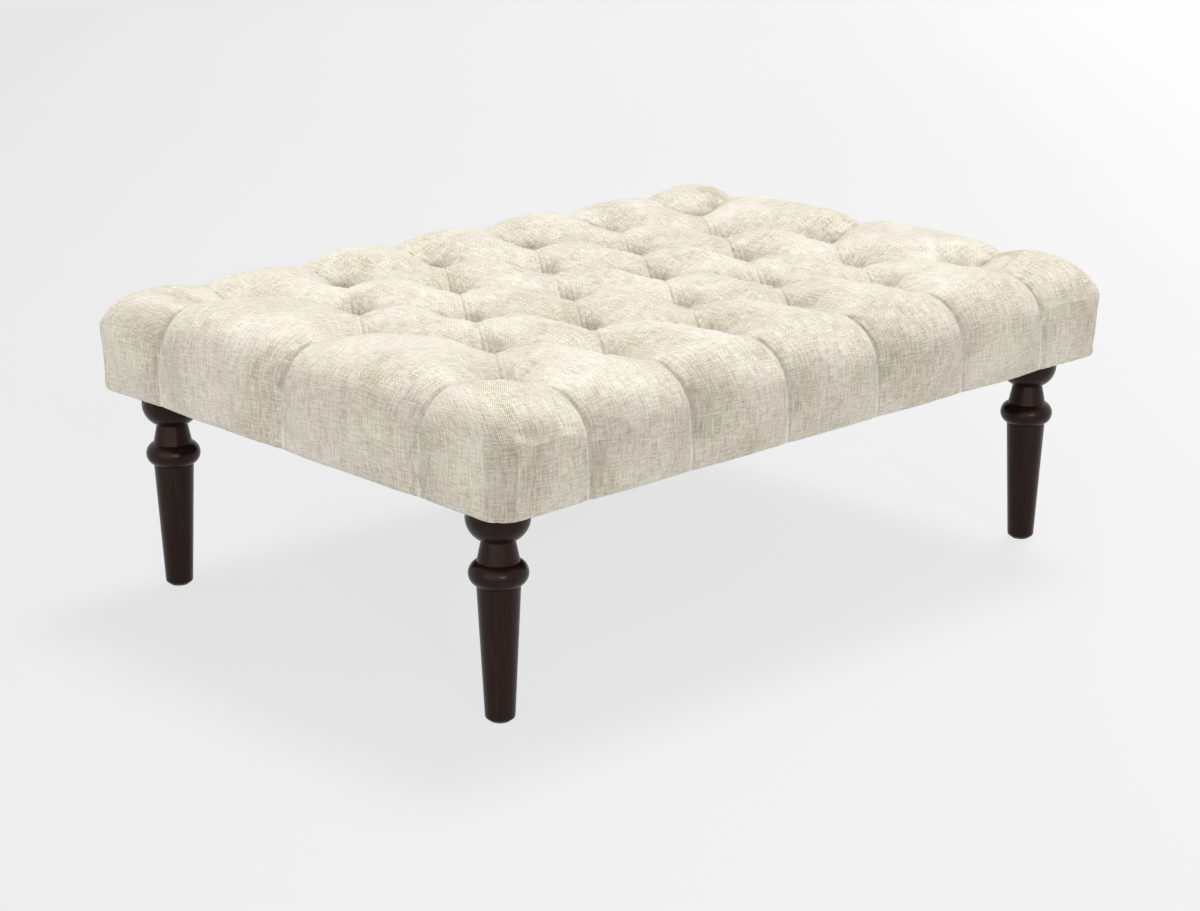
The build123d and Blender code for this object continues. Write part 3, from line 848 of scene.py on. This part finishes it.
def nonwoven(name):
    """Black spun dust cloth, pressed in a fine grid of dots."""
    nodes = Nodes(name)
    fibres = nodes.noise(nodes.place("Object", (900, 900, 900)), 1, 4, 0.7, 0.6)
    first = nodes.wave(nodes.place("Object", turn=(0, 0, math.radians(45))), 330)
    second = nodes.wave(nodes.place("Object", turn=(0, 0, math.radians(-45))), 330)
    dots = nodes.times(first, second)
    tone = nodes.ramp(fibres, ((0.3, (0.012, 0.012, 0.013)), (0.75, (0.045, 0.044, 0.043))))
    pressed = nodes.ramp(dots, ((0.4, grey(0.5)), (0.9, grey(1.0))))
    nodes.colour(nodes.mix(0.5, tone, pressed, "MULTIPLY"))
    nodes.bump(nodes.plus(dots, fibres), 0.5, 0.3 * mm)
    nodes.roughness(fibres, 0.7, 0.9)
    return nodes.material


def steel(name, dark, light, roughness):
    """Zinc-plated steel, brushed and slightly stained."""
    nodes = Nodes(name)
    brush = nodes.noise(nodes.place("Object", (500, 500, 4000)), 1, 3, 0.6)
    stain = nodes.noise(nodes.place("Object"), 120, 3, 0.6)
    tone = nodes.ramp(brush, ((0.3, dark), (0.7, light)))
    stained = nodes.ramp(stain, ((0.3, (0.7, 0.68, 0.62)), (0.7, grey(1.0))))
    nodes.colour(nodes.mix(0.4, tone, stained, "MULTIPLY"))
    nodes.roughness(brush, roughness - 0.1, roughness + 0.12)
    nodes.bump(brush, 0.15, 0.2 * mm)
    nodes.shade({"Metallic": 1.0})
    return nodes.material


timber_tones = ((0.46, 0.31, 0.18), (0.66, 0.49, 0.31))
fabric = chenille("cream_chenille", "UV", True)
button_cloth = chenille("button_chenille", "Object", False)
espresso = wood("espresso_wood", (0.0090, 0.0045, 0.0036), (0.0200, 0.0098, 0.0078), 2, 170, 0.22)
timber_x = wood("timber_along_x", *timber_tones, 0, 90, 0.6)
timber_y = wood("timber_along_y", *timber_tones, 1, 90, 0.6)
beech = wood("beech_dowel", (0.52, 0.34, 0.20), (0.70, 0.51, 0.34), 1, 220, 0.5)
birch = plywood("birch_plywood")
foam = fibrous("seat_foam", (0.62, 0.55, 0.34), (0.80, 0.74, 0.52), 700, (1, 1, 1), 0.95, 0.8 * mm)
batting = fibrous("white_wadding", (0.66, 0.66, 0.64), (0.86, 0.86, 0.84), 300, (1, 1, 2.5), 0.97, 1.2 * mm)
twine = fibrous("waxed_twine", (0.34, 0.28, 0.18), (0.60, 0.52, 0.38), 1500, (1, 1, 0.4), 0.7, 0.3 * mm)
black_cloth = nonwoven("black_dust_cloth")
plated = steel("plated_steel", (0.42, 0.42, 0.40), (0.68, 0.67, 0.64), 0.35)
glide_plastic = fibrous(
    "glide_plastic", (0.05, 0.048, 0.046), (0.075, 0.072, 0.07), 600, (1, 1, 1), 0.45, 0.1 * mm
)


def dress(node, material):
    """Gives a carried-over node its material."""
    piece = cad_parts[node]
    if not piece.material_slots:
        piece.data.materials.append(material)
    for material_slot in piece.material_slots:
        material_slot.material = material


for corner in ("front_left", "front_right", "rear_left", "rear_right"):
    dress(f"leg_{corner}", espresso)
    dress(f"foot_glide_{corner}", glide_plastic)
    dress(f"hanger_bolt_{corner}", plated)
    dress(f"tee_nut_{corner}", plated)
    dress(f"corner_block_{corner}", timber_x)
for node in ("front_rail", "rear_rail"):
    dress(node, timber_x)
for node in ("left_rail", "right_rail", "left_cross_rail", "right_cross_rail"):
    dress(node, timber_y)
dress("rail_dowels", beech)
dress("deck_board", birch)
dress("foam_block", foam)
dress("wadding", batting)
dress("button_twines", twine)
dress("dust_cloth", black_cloth)
for node in ("twine_washers", "block_screws", "deck_screws"):
    dress(node, plated)

cover.data.materials.append(fabric)
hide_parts("tufted_cover")
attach(cover, "root")

# Outline of a button in millimetres: radius and height above its seat, from the middle of its dome down
button_dome = ((0, 6.4), (2.5, 6.25), (5, 5.7), (7.4, 4.7), (9.2, 3.4), (10.4, 2.0), (10.9, 0.8), (10.6, 0.1))
button_shank = ((8.5, 0), (1.5, 0), (1.5, -8.6), (0, -8.6))
solid_height = 15.5
solid_shank = 9
button_segments = 40
tuck_count = 9
tuck_depth = 0.14


def merge_close(piece):
    """Joins points that lie on one another."""
    form = bmesh.new()
    form.from_mesh(piece.data)
    bmesh.ops.remove_doubles(form, verts=form.verts, dist=0.01 * mm)
    form.to_mesh(piece.data)
    form.free()


def build_buttons():
    """Domed buttons, their cloth gathered in small tucks at the rim, with a shank below."""
    seat = buttons_low.z + (buttons_high.z - buttons_low.z) * solid_shank / solid_height
    profile = button_dome + button_shank
    points = []
    faces = []
    for x, y in buttons:
        start = len(points)
        turn = chance.uniform(0, 2 * math.pi)
        for ring, (radius, height) in enumerate(profile):
            for segment in range(button_segments):
                angle = 2 * math.pi * segment / button_segments + turn
                tuck = 0
                if ring < len(button_dome):
                    at_rim = (radius * mm / button_radius) ** 4
                    tuck = tuck_depth * math.sin(tuck_count * angle + turn) * at_rim
                reach = (radius + tuck) * mm
                level = seat + (height + tuck) * mm
                points.append((x + reach * math.cos(angle), y + reach * math.sin(angle), level))
        for ring in range(len(profile) - 1):
            for segment in range(button_segments):
                following = (segment + 1) % button_segments
                low = start + (ring + 1) * button_segments
                high = start + ring * button_segments
                faces.append((high + segment, low + segment, low + following, high + following))
    piece = make_object("covered_buttons", points, faces)
    merge_close(piece)
    return piece


covered_buttons = build_buttons()
covered_buttons.data.materials.append(button_cloth)
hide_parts("tuft_buttons")
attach(covered_buttons, "root")

# Staples round the dust cloth
staple_wire = 0.45 * mm
staple_reach = 5.5 * mm
staple_leg = 2.0 * mm
staple_bend = 0.6 * mm
staple_crown = 0.25 * mm
bend_start = 0.2 * mm
staple_inset = 7 * mm
staple_margin = 40 * mm
staples_lengthwise = 16
staples_crosswise = 11
staple_slant = 0.12
staple_drift = 1.2 * mm
wire_sides = 6


def staple_spots():
    """Places and directions of the staples, just inside the cloth's edge."""
    half_x = cloth_high.x - staple_inset
    half_y = cloth_high.y - staple_inset
    spots = []
    for side in (-1, 1):
        for run in np.linspace(staple_margin - half_x, half_x - staple_margin, staples_lengthwise):
            spots.append((run, side * half_y, 0))
        for run in np.linspace(staple_margin - half_y, half_y - staple_margin, staples_crosswise):
            spots.append((side * half_x, run, math.pi / 2))
    return spots


def build_staples():
    """Wire staples, each driven a little aslant: a crown against the cloth with two short legs up into it."""
    stations = (
        (-staple_reach, staple_leg),
        (-staple_reach, bend_start),
        (staple_bend - staple_reach, -staple_crown),
        (staple_reach - staple_bend, -staple_crown),
        (staple_reach, bend_start),
        (staple_reach, staple_leg),
    )
    points = []
    faces = []
    for x, y, turn in staple_spots():
        turn += chance.normal(0, staple_slant)
        x += chance.normal(0, staple_drift)
        y += chance.normal(0, staple_drift)
        start = len(points)
        for run, level in stations:
            for corner in range(wire_sides):
                angle = corner * 2 * math.pi / wire_sides
                flat = staple_wire * math.cos(angle)
                thick = 0.5 * staple_wire * math.sin(angle)
                on_leg = level == staple_leg
                along = run + (thick if on_leg else 0)
                height = cloth_low.z + level + (0 if on_leg else thick)
                x_place = x + along * math.cos(turn) - flat * math.sin(turn)
                y_place = y + along * math.sin(turn) + flat * math.cos(turn)
                points.append((x_place, y_place, height))
        for station in range(len(stations) - 1):
            for corner in range(wire_sides):
                following = (corner + 1) % wire_sides
                low = start + station * wire_sides
                high = low + wire_sides
                faces.append((low + corner, low + following, high + following, high + corner))
    return make_object("dust_cloth_staples", points, faces)


staples = build_staples()
staples.data.materials.append(plated)
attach(staples, "root")

# Floor and backdrop in one sweep, square to the view, in metres
view_turn = math.radians(-43.276)
sweep_front = -14.0
sweep_back = 9.0
sweep_bend = 4.0
sweep_half_width = 16.0
sweep_steps = 24
lit_half_width = 1.6
plain_start = 0.5


def build_sweep():
    """A floor that curves up into a backdrop far behind the stool."""
    start = sweep_back - sweep_bend
    profile = [(sweep_front, 0.0), (start, 0.0)]
    for turn in np.linspace(0, math.pi / 2, sweep_steps)[1:]:
        profile.append((start + sweep_bend * math.sin(turn), sweep_bend * (1 - math.cos(turn))))
    points = []
    faces = []
    for behind, height in profile:
        for across in (-sweep_half_width, sweep_half_width):
            x = across * math.cos(view_turn) - behind * math.sin(view_turn)
            y = across * math.sin(view_turn) + behind * math.cos(view_turn)
            points.append((x, y, height))
    for step in range(len(profile) - 1):
        faces.append((2 * step, 2 * step + 1, 2 * step + 3, 2 * step + 2))
    return make_object("studio_sweep", points, faces)


def seen_directly(tree):
    """1 for rays from the camera, off gloss or through glass, else 0."""
    path = tree.nodes.new("ShaderNodeLightPath")
    total = path.outputs["Is Camera Ray"]
    for name in ("Is Glossy Ray", "Is Transmission Ray"):
        node = tree.nodes.new("ShaderNodeMath")
        node.operation = "MAXIMUM"
        tree.links.new(total, node.inputs[0])
        tree.links.new(path.outputs[name], node.inputs[1])
        total = node.outputs[0]
    return total


def pale_paper():
    """White paper that keeps a faint shadow and grows lighter from left to right."""
    nodes = Nodes("pale_paper")
    grain = nodes.noise(nodes.place("Object"), 0.6, 2, 0.5)
    nodes.colour(nodes.ramp(grain, ((0.2, grey(0.48)), (0.8, grey(0.52)))))
    nodes.shade({"Roughness": 0.9, "Specular IOR Level": 0.1})
    split = nodes.add("ShaderNodeSeparateXYZ")
    nodes.link(nodes.place("Object", turn=(0, 0, -view_turn)), split.inputs[0])
    side = split.outputs["X"]
    across = nodes.between(side, {"From Min": -lit_half_width, "From Max": lit_half_width})
    glow = nodes.add("ShaderNodeEmission")
    levels = ((0.0, grey(0.85)), (0.5, grey(0.95)), (1.0, grey(1.0)))
    nodes.link(nodes.ramp(across, levels), glow.inputs["Color"])
    limits = {"From Min": plain_start, "From Max": lit_half_width, "To Min": 0.78, "To Max": 0.97}
    plain = nodes.between(side, limits)
    blend = nodes.add("ShaderNodeMixShader")
    shares = nodes.times(seen_directly(nodes.tree), plain)
    nodes.feed((shares, nodes.shader.outputs[0], glow.outputs[0]), blend.inputs)
    nodes.link(blend.outputs[0], nodes.tree.nodes["Material Output"].inputs["Surface"])
    return nodes.material


sweep = build_sweep()
sweep.data.materials.append(pale_paper())

# Soft studio light: the world's level as it lights the stool, and as it is seen
lighting_level = 0.42
seen_level = 0.92
world = bpy.data.worlds.new("studio")
bpy.context.scene.world = world
world.use_nodes = True
sky = world.node_tree.nodes["Background"]
sky.inputs["Color"].default_value = (*grey(1.0), 1)
sky_strength = world.node_tree.nodes.new("ShaderNodeMapRange")
sky_strength.inputs["To Min"].default_value = lighting_level
sky_strength.inputs["To Max"].default_value = seen_level
world.node_tree.links.new(seen_directly(world.node_tree), sky_strength.inputs["Value"])
world.node_tree.links.new(sky_strength.outputs[0], sky.inputs["Strength"])


def add_sun(name, azimuth, elevation, strength, spread_angle):
    """A soft distant lamp, by the direction that it shines from, in degrees."""
    lamp = bpy.data.lights.new(name, "SUN")
    lamp.energy = strength
    lamp.angle = math.radians(spread_angle)
    holder = bpy.data.objects.new(name, lamp)
    holder.rotation_euler = Euler((math.radians(90 - elevation), 0, math.radians(azimuth + 90)))
    bpy.context.scene.collection.objects.link(holder)


add_sun("key", 24, 64, 2.3, 22)
add_sun("fill", -160, 20, 0.85, 60)
add_sun("glint", -115, 20, 0.8, 12)

# Camera at the photograph's angle
camera_place = (-2.1536, -2.2683, 1.0900)
camera_tilt = math.radians(73.0)
view = bpy.data.cameras.new("view")
view.sensor_width = 36
view.lens = 80.26
camera = bpy.data.objects.new("view", view)
camera.location = camera_place
camera.rotation_euler = Euler((camera_tilt, 0, view_turn))
bpy.context.scene.collection.objects.link(camera)
bpy.context.scene.camera = camera
bpy.context.scene.view_settings.view_transform = "Standard"
